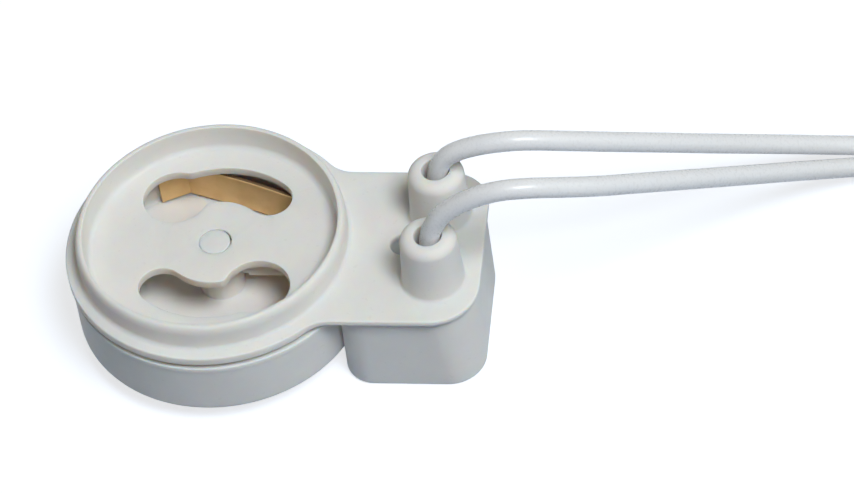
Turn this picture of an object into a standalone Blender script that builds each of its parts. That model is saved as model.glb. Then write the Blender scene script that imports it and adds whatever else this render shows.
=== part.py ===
"""Holder for a fluorescent lamp starter: a round moulded socket with two keyhole slots,
brass strip contacts and a terminal box with two solid-core leads.

Metres, +Z up. The origin is at the middle of the holder's footprint, on the surface
that the terminal box stands on. +X runs from the round socket to the terminal box.
"""

import bmesh
import bpy
from math import atan2, cos, pi, radians, sin, sqrt
from mathutils import Matrix, Vector

MM = 0.001

# Fits
SEAT_GAP = 0.2 * MM
STRIP_GAP = 0.3 * MM
CORD_GAP = 0.3 * MM

# Heights of the moulded body
PLATE_TOP = 9.3 * MM
PLATE_T = 1.2 * MM
CUP_BOTTOM = 2.0 * MM
FLOOR_T = 1.2 * MM
CUP_FLOOR_T = 1.9 * MM
WALL = 1.05 * MM

# Starter seat, on the socket axis
PIN_PITCH = 12.7 * MM
SEAT_Z = PLATE_TOP + 0.1 * MM
SEAT_T = 1.0 * MM
SEAT_MARGIN = 4.55 * MM
SEAT_DRAFT = 0.15 * MM
SEAT_FILLET = 0.7 * MM
RING_H = 2.4 * MM
RING_T = 0.6 * MM
FLANGE_STEP = 0.05 * MM
FLANGE_FILLET = 0.9 * MM
FLANGE_LAND = 0.5 * MM
RIM_ROUND = 0.35 * MM
SKIRT_T = 0.6 * MM
SKIRT_H = 1.2 * MM
GATE_SIDE = 1.5 * MM

# Keyhole slots for the starter's headed pins
ENTRY_R = 2.7 * MM
ENTRY_ANGLE = radians(133.0)
PARK_ANGLE = radians(53.0)
PARK_W = 4.2 * MM
NECK_W = 3.4 * MM
SLOT_REACH = radians(62.0)

# Lower cup
CUP_SET = 0.3 * MM
CUP_EDGE = 0.5 * MM
CUP_LIP = 0.15 * MM
POST_R = 1.3 * MM
POST_GAP = 0.2 * MM
POST_BASE_R = 2.0 * MM

# Terminal box
PLATE_HALF = 8.35 * MM
PLATE_REACH = 10.7 * MM
PLATE_CORNER = 3.6 * MM
PLATE_WEB_R = 3.0 * MM
BOX_SET = 0.12 * MM
BOX_OVERLAP = 1.7 * MM
BOX_CORNER = 2.6 * MM
BOX_EDGE = 0.4 * MM

# Lead entries and fixing hole
ENTRY_INSET = 4.14 * MM
ENTRY_Y = 3.69 * MM
BOOT_H = 5.6 * MM
BOOT_BASE_R = 2.7 * MM
BOOT_TOP_R = 2.42 * MM
BOOT_ROUND = 0.85 * MM
BOOT_FOOT = 0.3 * MM
BORE_R = 1.2 * MM
BORE_FLARE = 0.25 * MM
HOLE_STEP = 2.91 * MM
HOLE_R = 1.2 * MM
TUBE_WALL = 0.9 * MM

# Contact strips
STRIP_T = 0.35 * MM
STRIP_H = 3.6 * MM
STRIP_DROP = 0.4 * MM
STRIP_BEND = 0.5 * MM
STRIP_ROOM = 2.5 * MM
ARM_H = 2.5 * MM
ARM_Y = 0.35 * MM
ARM_GAP = 1.2 * MM
ARM_KNEE = 3.15 * MM
CRIMP_R = 0.85 * MM
CRIMP_H = 3.0 * MM
CORE_R = 0.4 * MM
CORE_GAP = 0.1 * MM

# Leads
LEAD_R = 0.875 * MM
LEAD_SINK = 0.9 * MM
LEAD_STEP = 2.4 * MM
STRIPPED = 8.0 * MM
TAIL = 14.0 * MM
COIL_REACH = 47.69 * MM
COIL_EASE = 0.2 * MM
COIL_MID_R = 8.9 * MM
COIL_SIDE = 3.7 * MM
COIL_CORNER = 0.9 * MM
TURN_PITCH = 1.8 * MM
TIE_T = 0.25 * MM
TIE_W = 2.5 * MM
TIE_GAP = 0.15 * MM
TIE_ANGLE = radians(135.0)
TAIL_ANGLE = radians(20.0)
FLOOR_GAP = 0.02 * MM
LEAD_FLOOR = LEAD_R + FLOOR_GAP
COIL_BOTTOM = TIE_T + TIE_GAP + FLOOR_GAP

SEGMENTS = 64
OVER = 1.0 * MM

# Radii and places along X, from the socket axis
PIN_R = PIN_PITCH / 2
SEAT_R = PIN_R + SEAT_MARGIN
FLANGE_R = SEAT_R + SEAT_DRAFT + RING_T + FLANGE_STEP + FLANGE_FILLET + FLANGE_LAND
CUP_R = FLANGE_R - CUP_SET
CUP_INNER_R = CUP_R - WALL
SKIRT_R = CUP_INNER_R - STRIP_GAP
SKIRT_INNER_R = SKIRT_R - SKIRT_T
PLATE_END = FLANGE_R + PLATE_REACH
BOX_START = FLANGE_R - BOX_OVERLAP
ENTRY_X = PLATE_END - ENTRY_INSET
HOLE_X = ENTRY_X - HOLE_STEP
COIL_X = ENTRY_X + COIL_REACH
TAIL_Y = ENTRY_Y - CRIMP_R + STRIP_T / 2

# The footprint's middle is the origin, so the socket axis lies at this X
AXIS_X = (FLANGE_R - PLATE_END) / 2

# Heights
PLATE_BOTTOM = PLATE_TOP - PLATE_T
HOUSING_TOP = PLATE_BOTTOM - SEAT_GAP
RING_TOP = PLATE_TOP + RING_H
CUP_FLOOR = CUP_BOTTOM + CUP_FLOOR_T
BOX_FLOOR = FLOOR_T
STRIP_TOP = SEAT_Z - SEAT_T - STRIP_DROP
STRIP_BOTTOM = STRIP_TOP - STRIP_H
STRIP_MIDDLE = STRIP_TOP - STRIP_H / 2
SILL = STRIP_BOTTOM - SEAT_GAP
LEAD_START = PLATE_TOP + LEAD_SINK


def clear_scene():
    for obj in list(bpy.data.objects):
        bpy.data.objects.remove(obj, do_unlink=True)


def make_collection(name, hidden=False):
    coll = bpy.data.collections.new(name)
    bpy.context.scene.collection.children.link(coll)
    coll.hide_render = hidden
    return coll


clear_scene()
PART = make_collection("starter_holder")
CUTTERS = make_collection("starter_holder_cutters", hidden=True)


def material(name, color, roughness, metallic=0.0, coat=0.0):
    mat = bpy.data.materials.new(name)
    mat.use_nodes = True
    shader = mat.node_tree.nodes["Principled BSDF"]
    shader.inputs["Base Color"].default_value = (*color, 1.0)
    shader.inputs["Roughness"].default_value = roughness
    shader.inputs["Metallic"].default_value = metallic
    shader.inputs["Coat Weight"].default_value = coat
    mat.diffuse_color = (*color, 1.0)
    return mat


def place(obj, coll, mat=None):
    for owner in list(obj.users_collection):
        owner.objects.unlink(obj)
    coll.objects.link(obj)
    if coll is CUTTERS:
        obj.display_type = "WIRE"
        obj.hide_render = True
    if mat is not None:
        obj.data.materials.clear()
        obj.data.materials.append(mat)
    return obj


def arc(cx, cy, radius, start, end, steps):
    """Points of an arc, both ends included; angles in radians."""
    points = []
    for i in range(steps + 1):
        a = start + (end - start) * i / steps
        points.append((cx + radius * cos(a), cy + radius * sin(a)))
    return points


def curve_to_mesh(obj, name):
    """A mesh object with the curve's evaluated, welded faces."""
    depsgraph = bpy.context.evaluated_depsgraph_get()
    mesh = bpy.data.meshes.new_from_object(obj.evaluated_get(depsgraph))
    bpy.data.objects.remove(obj, do_unlink=True)
    work = bmesh.new()
    work.from_mesh(mesh)
    bmesh.ops.remove_doubles(work, verts=work.verts, dist=0.001 * MM)
    flat = radians(0.1)
    bmesh.ops.dissolve_limit(work, angle_limit=flat, verts=work.verts, edges=work.edges)
    bmesh.ops.recalc_face_normals(work, faces=work.faces)
    work.to_mesh(mesh)
    work.free()
    return bpy.data.objects.new(name, mesh)


def prism(name, outline, bottom, top, coll, mat=None, x=AXIS_X, y=0.0):
    """A flat outline extruded from bottom to top, as a mesh."""
    data = bpy.data.curves.new(name, "CURVE")
    data.dimensions = "2D"
    data.fill_mode = "BOTH"
    data.extrude = (top - bottom) / 2
    spline = data.splines.new("POLY")
    spline.points.add(len(outline) - 1)
    for point, (px, py) in zip(spline.points, outline):
        point.co = (px, py, 0.0, 1.0)
    spline.use_cyclic_u = True
    flat = bpy.data.objects.new(name + "_outline", data)
    CUTTERS.objects.link(flat)
    bpy.context.view_layer.update()
    solid = curve_to_mesh(flat, name)
    place(solid, coll, mat)
    solid.location = (x, y, (top + bottom) / 2)
    return solid


def turned(name, profile, coll, mat=None, x=AXIS_X, y=0.0, steps=SEGMENTS):
    """A closed profile of (radius, height) points, turned about its own Z axis."""
    mesh = bpy.data.meshes.new(name)
    verts = [(r, 0.0, z) for r, z in profile]
    on_axis = profile[0][0] == 0.0 and profile[-1][0] == 0.0
    edges = [(i, i + 1) for i in range(len(verts) - 1)]
    if not on_axis:
        edges.append((len(verts) - 1, 0))
    mesh.from_pydata(verts, edges, [])
    obj = bpy.data.objects.new(name, mesh)
    place(obj, coll, mat)
    obj.location = (x, y, 0.0)
    screw = obj.modifiers.new("turn", "SCREW")
    screw.steps = steps
    screw.render_steps = steps
    screw.use_merge_vertices = True
    screw.merge_threshold = 0.001 * MM
    return obj


def cylinder(name, radius, bottom, top, coll, mat=None, x=AXIS_X, y=0.0, steps=32):
    bpy.ops.mesh.primitive_cylinder_add(
        vertices=steps, radius=radius, depth=top - bottom, location=(x, y, (top + bottom) / 2)
    )
    obj = bpy.context.object
    obj.name = name
    obj.data.name = name
    return place(obj, coll, mat)


def block(name, x0, x1, y0, y1, z0, z1, coll, mat=None):
    """A box between two corners; X is measured from the socket axis."""
    bpy.ops.mesh.primitive_cube_add(size=1.0)
    obj = bpy.context.object
    obj.name = name
    obj.data.name = name
    obj.data.transform(Matrix.Diagonal((x1 - x0, y1 - y0, z1 - z0, 1.0)))
    obj.location = (AXIS_X + (x0 + x1) / 2, (y0 + y1) / 2, (z0 + z1) / 2)
    return place(obj, coll, mat)


def boolean(target, operand, operation):
    mod = target.modifiers.new(operand.name, "BOOLEAN")
    mod.operation = operation
    mod.solver = "EXACT"
    mod.object = operand


def add(target, *operands):
    for operand in operands:
        boolean(target, operand, "UNION")


def cut(target, *operands):
    for operand in operands:
        boolean(target, operand, "DIFFERENCE")


def rounded_rectangle(x0, x1, y0, y1, radius, steps=8):
    points = []
    points += arc(x1 - radius, y0 + radius, radius, -pi / 2, 0.0, steps)
    points += arc(x1 - radius, y1 - radius, radius, 0.0, pi / 2, steps)
    points += arc(x0 + radius, y1 - radius, radius, pi / 2, pi, steps)
    points += arc(x0 + radius, y0 + radius, radius, pi, 3 * pi / 2, steps)
    return points


# Colours and finishes
COVER_WHITE = material("cover_white_moulding", (0.74, 0.74, 0.70), 0.55)
HOUSING_WHITE = material("housing_white_moulding", (0.72, 0.73, 0.72), 0.5)
BRASS_FAR = material("far_contact_brass", (0.72, 0.50, 0.24), 0.35, metallic=1.0)
BRASS_NEAR = material("near_contact_brass", (0.72, 0.50, 0.24), 0.35, metallic=1.0)


def plate_outline():
    """The flat plate beside the round flange, with concave webs where they meet."""
    web_y = PLATE_HALF + PLATE_WEB_R
    web_x = sqrt((FLANGE_R + PLATE_WEB_R) ** 2 - web_y ** 2)
    lean = atan2(web_y, web_x)
    end = PLATE_END
    half = PLATE_HALF
    corner = PLATE_CORNER
    points = arc(web_x, -web_y, PLATE_WEB_R, pi - lean, pi / 2, 8)
    points += arc(end - corner, corner - half, corner, -pi / 2, 0.0, 10)
    points += arc(end - corner, half - corner, corner, 0.0, pi / 2, 10)
    points += arc(web_x, web_y, PLATE_WEB_R, -pi / 2, -pi + lean, 8)
    # The rest of the flange's rim closes the outline
    points += arc(0.0, 0.0, FLANGE_R, lean, 2 * pi - lean, 52)[1:-1]
    return points


def dish_profile():
    """Seat, ring and flange's raised part in one section, from the post hole outward."""
    wall_top = SEAT_R + SEAT_DRAFT
    outer = wall_top + RING_T
    land = RING_T / 2
    inner = POST_R + POST_GAP
    web_top = PLATE_TOP - PLATE_T / 2
    points = [(inner, SEAT_Z)]
    points += arc(SEAT_R - SEAT_FILLET, SEAT_Z + SEAT_FILLET, SEAT_FILLET, -pi / 2, 0.0, 4)
    points += arc(wall_top + land, RING_TOP - land, land, pi, 0.0, 6)
    foot = outer + FLANGE_STEP + FLANGE_FILLET
    points += arc(foot, PLATE_TOP + FLANGE_FILLET, FLANGE_FILLET, pi, 3 * pi / 2, 4)
    points += [(foot, web_top)]
    points += [(SKIRT_R, web_top), (SKIRT_R, PLATE_BOTTOM - SKIRT_H)]
    points += [(SKIRT_INNER_R, PLATE_BOTTOM - SKIRT_H), (SKIRT_INNER_R, SEAT_Z - SEAT_T)]
    points += [(inner, SEAT_Z - SEAT_T)]
    return points


def boot_profile():
    """Tapered lead entry, a solid post before its bore is cut."""
    top = PLATE_TOP + BOOT_H
    points = [(0.0, top), (BOOT_TOP_R - BOOT_ROUND, top)]
    points += arc(BOOT_TOP_R - BOOT_ROUND, top - BOOT_ROUND, BOOT_ROUND, pi / 2, 0.0, 6)[1:]
    foot = BOOT_BASE_R + BOOT_FOOT
    root = PLATE_TOP - PLATE_T / 2
    points += arc(foot, PLATE_TOP + BOOT_FOOT, BOOT_FOOT, pi, 3 * pi / 2, 4)
    points += [(foot, root), (0.0, root)]
    return points


def bore_profile():
    top = PLATE_TOP + BOOT_H
    flare = BORE_FLARE
    points = [(0.0, top + OVER), (BORE_R + flare, top + OVER)]
    points += arc(BORE_R + flare, top - flare, flare, pi / 2, pi, 4)
    points += [(BORE_R, PLATE_BOTTOM - OVER), (0.0, PLATE_BOTTOM - OVER)]
    return points


def slot_cutters(side):
    """Keyhole slot: a round entry and a tapering channel to the parking end; side 0 or 1."""
    turn = side * pi
    low = SEAT_Z - SEAT_T - OVER
    high = SEAT_Z + OVER
    name = f"slot_{side}"
    a = ENTRY_ANGLE + turn
    entry = cylinder(
        name + "_entry", ENTRY_R, low, high, CUTTERS,
        x=AXIS_X + PIN_R * cos(a), y=PIN_R * sin(a), steps=40,
    )
    park = PARK_ANGLE + turn
    far = PARK_ANGLE + SLOT_REACH + turn
    steps = 14
    outer = []
    inner = []
    for i in range(steps + 1):
        t = i / steps
        angle = park + (far - park) * t
        half = (PARK_W + (NECK_W - PARK_W) * t) / 2
        outer.append(((PIN_R + half) * cos(angle), (PIN_R + half) * sin(angle)))
        inner.append(((PIN_R - half) * cos(angle), (PIN_R - half) * sin(angle)))
    cap = arc(PIN_R * cos(park), PIN_R * sin(park), PARK_W / 2, park - pi, park, 14)[1:-1]
    outline = outer + list(reversed(inner)) + cap
    channel = prism(name + "_channel", outline, low, high, CUTTERS)
    return entry, channel


def build_cover():
    """Upper moulding: seat with ring and slots, plate, lead entries and fixing hole."""
    cover = prism("cover", plate_outline(), PLATE_BOTTOM, PLATE_TOP, PART, COVER_WHITE)
    rim = cover.modifiers.new("rim", "BEVEL")
    rim.width = RIM_ROUND
    rim.segments = 2
    rim.limit_method = "ANGLE"
    rim.angle_limit = radians(60.0)
    opening = cylinder(
        "seat_opening", SKIRT_R - SKIRT_T / 3, PLATE_BOTTOM - OVER, PLATE_TOP + OVER,
        CUTTERS, steps=SEGMENTS,
    )
    cut(cover, opening)
    add(cover, turned("dish", dish_profile(), CUTTERS))
    gate_y = ENTRY_Y + GATE_SIDE
    gate = block(
        "skirt_gate", SKIRT_R / 2, SKIRT_R + OVER, -gate_y, gate_y,
        PLATE_BOTTOM - 2.0 * SKIRT_H, PLATE_BOTTOM, CUTTERS,
    )
    cut(cover, gate)
    for side, y in enumerate((-ENTRY_Y, ENTRY_Y)):
        x = AXIS_X + ENTRY_X
        add(cover, turned(f"boot_{side}", boot_profile(), CUTTERS, x=x, y=y, steps=28))
        cut(cover, turned(f"bore_{side}", bore_profile(), CUTTERS, x=x, y=y, steps=28))
    for side in range(2):
        cut(cover, *slot_cutters(side))
    cut(cover, cylinder(
        "fixing_hole", HOLE_R, PLATE_BOTTOM - OVER, PLATE_TOP + OVER, CUTTERS,
        x=AXIS_X + HOLE_X,
    ))
    return cover


def cup_profile():
    edge = CUP_EDGE
    points = [(0.0, HOUSING_TOP), (CUP_R - CUP_LIP, HOUSING_TOP), (CUP_R, HOUSING_TOP - CUP_LIP)]
    points += arc(CUP_R - edge, CUP_BOTTOM + edge, edge, 0.0, -pi / 2, 4)
    points += [(0.0, CUP_BOTTOM)]
    return points


def build_housing():
    """Lower moulding: round cup and deeper terminal box, with post, sills and screw tube."""
    x0 = BOX_START
    x1 = PLATE_END - BOX_SET
    half = PLATE_HALF - BOX_SET
    outline = rounded_rectangle(x0, x1, -half, half, BOX_CORNER)
    housing = prism("housing", outline, 0.0, HOUSING_TOP, PART, HOUSING_WHITE)
    edge = housing.modifiers.new("edge", "BEVEL")
    edge.width = BOX_EDGE
    edge.segments = 3
    edge.limit_method = "ANGLE"
    edge.angle_limit = radians(60.0)
    add(housing, turned("cup", cup_profile(), CUTTERS))
    room = rounded_rectangle(x0 + WALL, x1 - WALL, WALL - half, half - WALL, BOX_CORNER - WALL)
    top = HOUSING_TOP + OVER
    cut(housing, cylinder("cup_room", CUP_INNER_R, CUP_FLOOR, top, CUTTERS, steps=SEGMENTS))
    cut(housing, prism("box_room", room, BOX_FLOOR, top, CUTTERS))
    for side, y in enumerate((-TAIL_Y, TAIL_Y)):
        half_slot = STRIP_T / 2 + STRIP_GAP
        cut(housing, block(
            f"strip_slot_{side}", CUP_INNER_R - OVER, x0 + WALL + OVER, y - half_slot,
            y + half_slot, SILL, top, CUTTERS,
        ))
    root = CUP_FLOOR - FLOOR_T / 2
    post = cylinder("post", POST_R, root, SEAT_Z, CUTTERS)
    base = cylinder("post_base", POST_BASE_R, root, SEAT_Z - SEAT_T - SEAT_GAP, CUTTERS)
    tube = cylinder(
        "screw_tube", HOLE_R + TUBE_WALL, BOX_FLOOR / 2, HOUSING_TOP, CUTTERS, x=AXIS_X + HOLE_X,
    )
    add(housing, base, post, tube)
    cut(housing, cylinder("screw_bore", HOLE_R, -OVER, top, CUTTERS, x=AXIS_X + HOLE_X))
    return housing


# Far strip from its free end: angle about the socket axis, and share of its room in the skirt
STRIP_ROUTE = [
    (124.6, 0.28), (109.9, 0.28), (100.5, 0.72), (89.3, 0.90), (75.5, 0.99),
    (61.4, 0.99), (48.3, 0.86), (31.9, 0.48), (21.7, 0.12),
]


def strip_outline(path, thickness):
    """Outline of a strip of even thickness along a bent path, mitred at its bends."""
    left = []
    right = []
    count = len(path)
    for i, point in enumerate(path):
        here = Vector(point)
        before = Vector(path[max(i - 1, 0)])
        after = Vector(path[min(i + 1, count - 1)])
        into = (here - before).normalized() if i > 0 else (after - here).normalized()
        out = (after - here).normalized() if i < count - 1 else into
        bisector = (into + out).normalized()
        normal = Vector((-bisector.y, bisector.x))
        reach = thickness / 2 / max(0.3, bisector.dot(into))
        left.append(tuple(here + normal * reach))
        right.append(tuple(here - normal * reach))
    return left + list(reversed(right))


def contact_path():
    """Plan of the far strip, from its free end to the terminal, about the socket axis."""
    path = []
    for angle, share in STRIP_ROUTE:
        radius = SKIRT_INNER_R - share * STRIP_ROOM
        path.append((radius * cos(radians(angle)), radius * sin(radians(angle))))
    path.append((CUP_INNER_R - 2.5 * STRIP_BEND, TAIL_Y + STRIP_BEND / 2))
    path.append((CUP_INNER_R - 1.5 * STRIP_BEND, TAIL_Y))
    path.append((ENTRY_X, TAIL_Y))
    return path


def arm_path():
    """Plan of the near contact's arm, from beside the post to its own tail."""
    knee = CUP_INNER_R - ARM_KNEE
    return [(POST_R + ARM_GAP, -ARM_Y), (knee, -ARM_Y), (CUP_INNER_R - STRIP_BEND, -TAIL_Y)]


def build_contact(name, side, mat):
    """Brass strip on edge with a crimp barrel; side is 1 for the far one, -1 for the near."""
    path = [(x, side * y) for x, y in contact_path()]
    contact = prism(name, strip_outline(path, STRIP_T), STRIP_BOTTOM, STRIP_TOP, PART, mat)
    x = AXIS_X + ENTRY_X
    y = side * ENTRY_Y
    low = STRIP_MIDDLE - CRIMP_H / 2
    high = STRIP_MIDDLE + CRIMP_H / 2
    add(contact, cylinder(name + "_crimp", CRIMP_R, low, high, CUTTERS, x=x, y=y, steps=24))
    if side < 0:
        arm = strip_outline(arm_path(), STRIP_T)
        add(contact, prism(name + "_arm", arm, STRIP_TOP - ARM_H, STRIP_TOP, CUTTERS))
    cut(contact, cylinder(
        name + "_crimp_bore", CORE_R + CORE_GAP, low - CRIMP_H, high + CRIMP_H, CUTTERS,
        x=x, y=y, steps=24,
    ))
    return contact


def smooth(points, step):
    """Points about a step apart on a smooth curve through the given ones."""
    anchors = [Vector(p) for p in points]
    ends = [anchors[0] * 2 - anchors[1]] + anchors + [anchors[-1] * 2 - anchors[-2]]
    result = []
    for a, b, c, d in zip(ends, ends[1:], ends[2:], ends[3:]):
        count = max(1, round((c - b).length / step))
        for i in range(count):
            t = i / count
            near = b * 2 + (c - a) * t
            far = (a * 2 - b * 5 + c * 4 - d) * t ** 2 + (b * 3 - a - c * 3 + d) * t ** 3
            result.append((near + far) / 2)
    return result + [anchors[-1]]


def tube(name, points, radius, mat):
    """A round wire along the points, with filled ends."""
    data = bpy.data.curves.new(name, "CURVE")
    data.dimensions = "3D"
    data.bevel_depth = radius
    data.bevel_resolution = 2
    data.use_fill_caps = True
    spline = data.splines.new("POLY")
    spline.points.add(len(points) - 1)
    for point, co in zip(spline.points, points):
        point.co = (*co, 1.0)
    obj = bpy.data.objects.new(name, data)
    obj.location = (AXIS_X, 0.0, 0.0)
    return place(obj, PART, mat)


# Lead routes in mm, X and Y from the lead entry's axis. An arch rises out of the boot, its
# heights from the plate's top. A fall follows it, its heights from the surface.
FAR_ARCH = [
    (0.00, 0.00, 0.90), (0.01, 0.00, 2.90), (0.09, 0.00, 4.70), (0.44, 0.00, 6.15),
    (1.19, 0.00, 7.30), (2.24, 0.00, 8.05), (3.54, 0.00, 8.60), (5.34, 0.01, 9.05),
    (7.84, 0.31, 9.05),
]
FAR_FALL = [
    (11.34, 1.24, 17.27), (14.34, 2.42, 15.87), (17.34, 3.97, 14.08), (20.34, 5.75, 12.03),
    (23.34, 7.65, 9.83), (26.34, 9.58, 7.63), (29.34, 11.40, 5.55), (32.34, 13.00, 3.70),
    (35.34, 14.27, 2.23), (38.34, 15.16, 1.25), (41.34, 15.70, 0.95),
]
NEAR_ARCH = [
    (0.00, 0.00, 0.90), (0.01, 0.00, 2.90), (0.08, 0.00, 4.70), (0.46, 0.00, 6.40),
    (1.29, 0.00, 7.95), (2.44, 0.00, 9.15), (4.34, 0.00, 10.45), (6.54, 0.07, 11.25),
    (8.94, 0.49, 11.15),
]
NEAR_FALL = [
    (11.34, 1.33, 19.61), (14.34, 2.80, 18.12), (17.34, 4.86, 16.14), (20.34, 7.24, 13.81),
    (23.34, 9.78, 11.30), (26.34, 12.34, 8.76), (29.34, 14.81, 6.34), (32.34, 17.02, 4.19),
    (35.34, 18.85, 2.46), (38.34, 20.16, 1.32), (41.34, 20.80, 0.97),
]


def lead_route(side, arch, fall):
    """A lead's points from the socket axis."""
    entry = Vector((ENTRY_X, side * ENTRY_Y, 0.0))
    lift = Vector((0.0, 0.0, PLATE_TOP))
    rising = [entry + lift + Vector(p) * MM for p in arch]
    return rising + [entry + Vector(p) * MM for p in fall]


def coil_profile():
    half = COIL_SIDE / 2
    middle = COIL_BOTTOM + half
    box = rounded_rectangle(
        COIL_MID_R - half, COIL_MID_R + half, middle - half, middle + half, COIL_CORNER, steps=2
    )
    return list(reversed(box))


def build_tie(name, x, y, angle, mat):
    """A flat band around one place of a coil."""
    inner = COIL_SIDE / 2 + TIE_GAP
    outer = inner + TIE_T
    height = COIL_BOTTOM + COIL_SIDE / 2
    radial = COIL_MID_R
    corner = COIL_CORNER
    frame = rounded_rectangle(-outer, outer, -outer, outer, corner + TIE_T, steps=3)
    hole = rounded_rectangle(-inner, inner, -inner, inner, corner, steps=3)
    band = prism(name, frame, -TIE_W / 2, TIE_W / 2, PART, mat)
    room = prism(name + "_room", hole, -TIE_W, TIE_W, CUTTERS)
    for obj in (band, room):
        obj.location = (AXIS_X + x + radial * cos(angle), y + radial * sin(angle), height)
        obj.rotation_euler = (pi / 2, 0.0, angle)
    cut(band, room)
    return band


def build_lead(name, side, route):
    """One lead: core in its crimp, insulated run, coil with its tie, tail and stripped end."""
    skin = material(f"lead_{name}_insulation", (0.70, 0.73, 0.76), 0.4)
    coil_skin = material(f"coil_{name}_insulation", (0.70, 0.73, 0.76), 0.4)
    tail_skin = material(f"tail_{name}_insulation", (0.70, 0.73, 0.76), 0.4)
    metal = material(f"core_{name}_tinned", (0.80, 0.78, 0.75), 0.3, metallic=1.0)
    bare = material(f"stripped_{name}_tinned", (0.80, 0.78, 0.75), 0.3, metallic=1.0)
    band = material(f"tie_{name}_plastic", (0.78, 0.78, 0.76), 0.5)
    cylinder(
        f"core_{name}", CORE_R, STRIP_MIDDLE - CRIMP_H / 2 - SEAT_GAP, LEAD_START - CORD_GAP,
        PART, metal, x=AXIS_X + ENTRY_X, y=side * ENTRY_Y, steps=12,
    )
    run = smooth(route, LEAD_STEP)
    tube(f"lead_{name}", run, LEAD_R, skin)
    outer_turn = COIL_MID_R + TURN_PITCH / 2
    coil_y = run[-1].y + COIL_EASE + side * outer_turn
    turned(
        f"coil_{name}", coil_profile(), PART, coil_skin, x=AXIS_X + COIL_X, y=coil_y, steps=40,
    )
    build_tie(f"tie_{name}", COIL_X, coil_y, side * TIE_ANGLE, band)
    outside = COIL_MID_R + COIL_SIDE / 2 + CORD_GAP + LEAD_R

    def along(start, length, steps=8):
        points = []
        for i in range(steps + 1):
            angle = side * (TAIL_ANGLE + (start + length * i / steps) / outside)
            offset = Vector((outside * cos(angle), outside * sin(angle), LEAD_FLOOR))
            points.append(Vector((COIL_X, coil_y, 0.0)) + offset)
        return points

    tube(f"tail_{name}", along(0.0, TAIL), LEAD_R, tail_skin)
    tube(f"stripped_{name}", along(TAIL + CORD_GAP, STRIPPED), CORE_R, bare)


build_cover()
build_housing()
build_contact("contact_far", 1, BRASS_FAR)
build_contact("contact_near", -1, BRASS_NEAR)
build_lead("far", 1, lead_route(1, FAR_ARCH, FAR_FALL))
build_lead("near", -1, lead_route(-1, NEAR_ARCH, NEAR_FALL))
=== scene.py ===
"""Looks of the starter holder: two white mouldings, brass contact strips and two leads."""

from math import atan2, cos, pi, radians, sin, sqrt

import bmesh
import bpy
from mathutils import Matrix, Vector


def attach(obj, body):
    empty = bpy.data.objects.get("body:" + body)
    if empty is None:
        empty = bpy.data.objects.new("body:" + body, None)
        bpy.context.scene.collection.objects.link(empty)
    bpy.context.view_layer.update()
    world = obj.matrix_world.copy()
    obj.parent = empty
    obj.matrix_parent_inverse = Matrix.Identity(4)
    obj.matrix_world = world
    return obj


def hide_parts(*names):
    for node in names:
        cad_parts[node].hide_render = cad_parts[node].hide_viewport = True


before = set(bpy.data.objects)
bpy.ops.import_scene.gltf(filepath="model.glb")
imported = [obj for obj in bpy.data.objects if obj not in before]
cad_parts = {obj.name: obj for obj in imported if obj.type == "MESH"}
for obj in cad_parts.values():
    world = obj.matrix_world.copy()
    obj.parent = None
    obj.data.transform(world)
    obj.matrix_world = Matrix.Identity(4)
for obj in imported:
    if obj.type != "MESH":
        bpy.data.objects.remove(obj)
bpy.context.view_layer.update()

MM = 0.001

# Heights
PLATE_TOP = 9.3 * MM
PLATE_BOTTOM = 8.5 * MM
SEAT_TOP = 9.4 * MM
SEAT_BOTTOM = 8.55 * MM
RING_TOP = 11.8 * MM
SKIRT_BOTTOM = 6.9 * MM
HOUSING_TOP = 7.95 * MM
BOX_TOP = 8.4 * MM
CUP_BOTTOM = 2.0 * MM
CUP_FLOOR = 3.9 * MM
BOX_FLOOR = 1.2 * MM
BOOT_TOP = 14.9 * MM
STRIP_TOP = 7.85 * MM
STRIP_BOTTOM = 4.12 * MM
ARM_BOTTOM = 4.62 * MM
ARM_Y = 0.32 * MM
RIB_BOTTOM = 5.5 * MM
RIB_SINK = 0.1 * MM
CRIMP_MIDDLE = 6.2 * MM

# Radii about the socket axis
SLOT_R = 6.55 * MM
SEAT_R = 11.0 * MM
SEAT_FILLET = 0.5 * MM
RING_R = 11.85 * MM
RING_LIP_R = 11.25 * MM
FLANGE_FILLET = 0.36 * MM
FLANGE_R = 13.1 * MM
SKIRT_R = 11.6 * MM
SKIRT_INNER_R = 11.3 * MM
CUP_R = 12.8 * MM
CUP_INNER_R = 11.75 * MM
CUP_LEAN_X = 0.15 * MM
CUP_LEAN_Y = -0.13 * MM
POST_R = 1.35 * MM
POST_HOLE_R = 1.43 * MM
POST_BASE_R = 2.0 * MM
POST_GAP = 0.2 * MM
POST_X = 0.14 * MM
POST_Y = -0.03 * MM
POST_HOLE_X = 0.20 * MM
SLOT_X = 0.24 * MM

# Plate and terminal box
PLATE_HALF = 8.29 * MM
PLATE_NEAR_HALF = 8.72 * MM
PLATE_EDGE_BOTTOM = 8.8 * MM
PLATE_END = 23.72 * MM
PLATE_CORNER = 3.6 * MM
PLATE_NEAR_CORNER = 4.3 * MM
WEB_R = 3.0 * MM
RIM_INSET = 0.14 * MM
FLANGE_FLAT = 0.14 * MM
FLANGE_SIDE = radians(205.0)
BOX_START = 11.4 * MM
BOX_END = 23.68 * MM
BOX_HALF = 8.23 * MM
BOX_CORNER = 2.6 * MM
BOX_NEAR_CORNER = 3.2 * MM
BOX_TOP_CORNER = 4.2 * MM
BOX_DRAFT = 0.1 * MM
BOX_EDGE = 0.4 * MM
BOX_TOP_EDGE = 0.1 * MM
BOX_FAR_CORNER = 4.8 * MM
WALL = 1.05 * MM

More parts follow.
